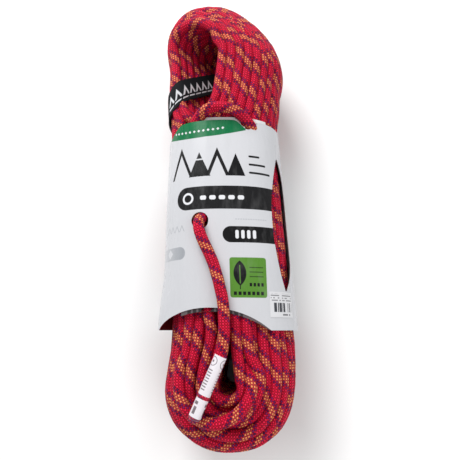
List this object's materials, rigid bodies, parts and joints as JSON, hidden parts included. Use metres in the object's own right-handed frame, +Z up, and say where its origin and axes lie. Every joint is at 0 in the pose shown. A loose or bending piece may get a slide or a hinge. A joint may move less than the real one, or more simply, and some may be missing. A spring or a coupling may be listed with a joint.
{
  "type": "dynamic climbing rope",
  "caption": "Kernmantle dynamic climbing rope folded into a long hank, held by a card sleeve and a woven tie band, with labelled ends in clear shrink tube.",
  "frame": {"origin": "on the ground under the middle of the hank's box", "axes": "+Z up, +Y along the hank towards the head loops, +X across to the right; the front of the sleeve faces +Z"},
  "size_m": [0.1324, 0.4479, 0.1124],
  "materials": {
    "sheath": "woven braid, satin",
    "core": "twisted yarn, matt",
    "melt": "fused tip, glossy",
    "label": "smooth, matt",
    "shrink": "clear shrink tube, glossy",
    "band": "woven tape, matt",
    "card": "printed and varnished, satin",
    "glue": "dried glue",
    "sticker": "coated, satin"
  },
  "bodies": {
    "root": {"rope_hank": "sheath", "rope_tail": "sheath", "rope_inner_run": "sheath", "tie_band": "band", "band_lap_patch": "band", "outer_card": "card", "liner_card": "card", "card_lap_strip": "card", "glue_strip": "glue", "price_sticker": "sticker", "outer_end_sheath": "sheath", "outer_end_core": "core", "outer_end_melt": "melt", "outer_end_long_label": "label", "outer_end_short_label": "label", "outer_end_shrink_tube": "shrink", "inner_end_sheath": "sheath", "inner_end_core": "core", "inner_end_melt": "melt", "inner_end_long_label": "label", "inner_end_short_label": "label", "inner_end_shrink_tube": "shrink"}
  },
  "joints": []
}
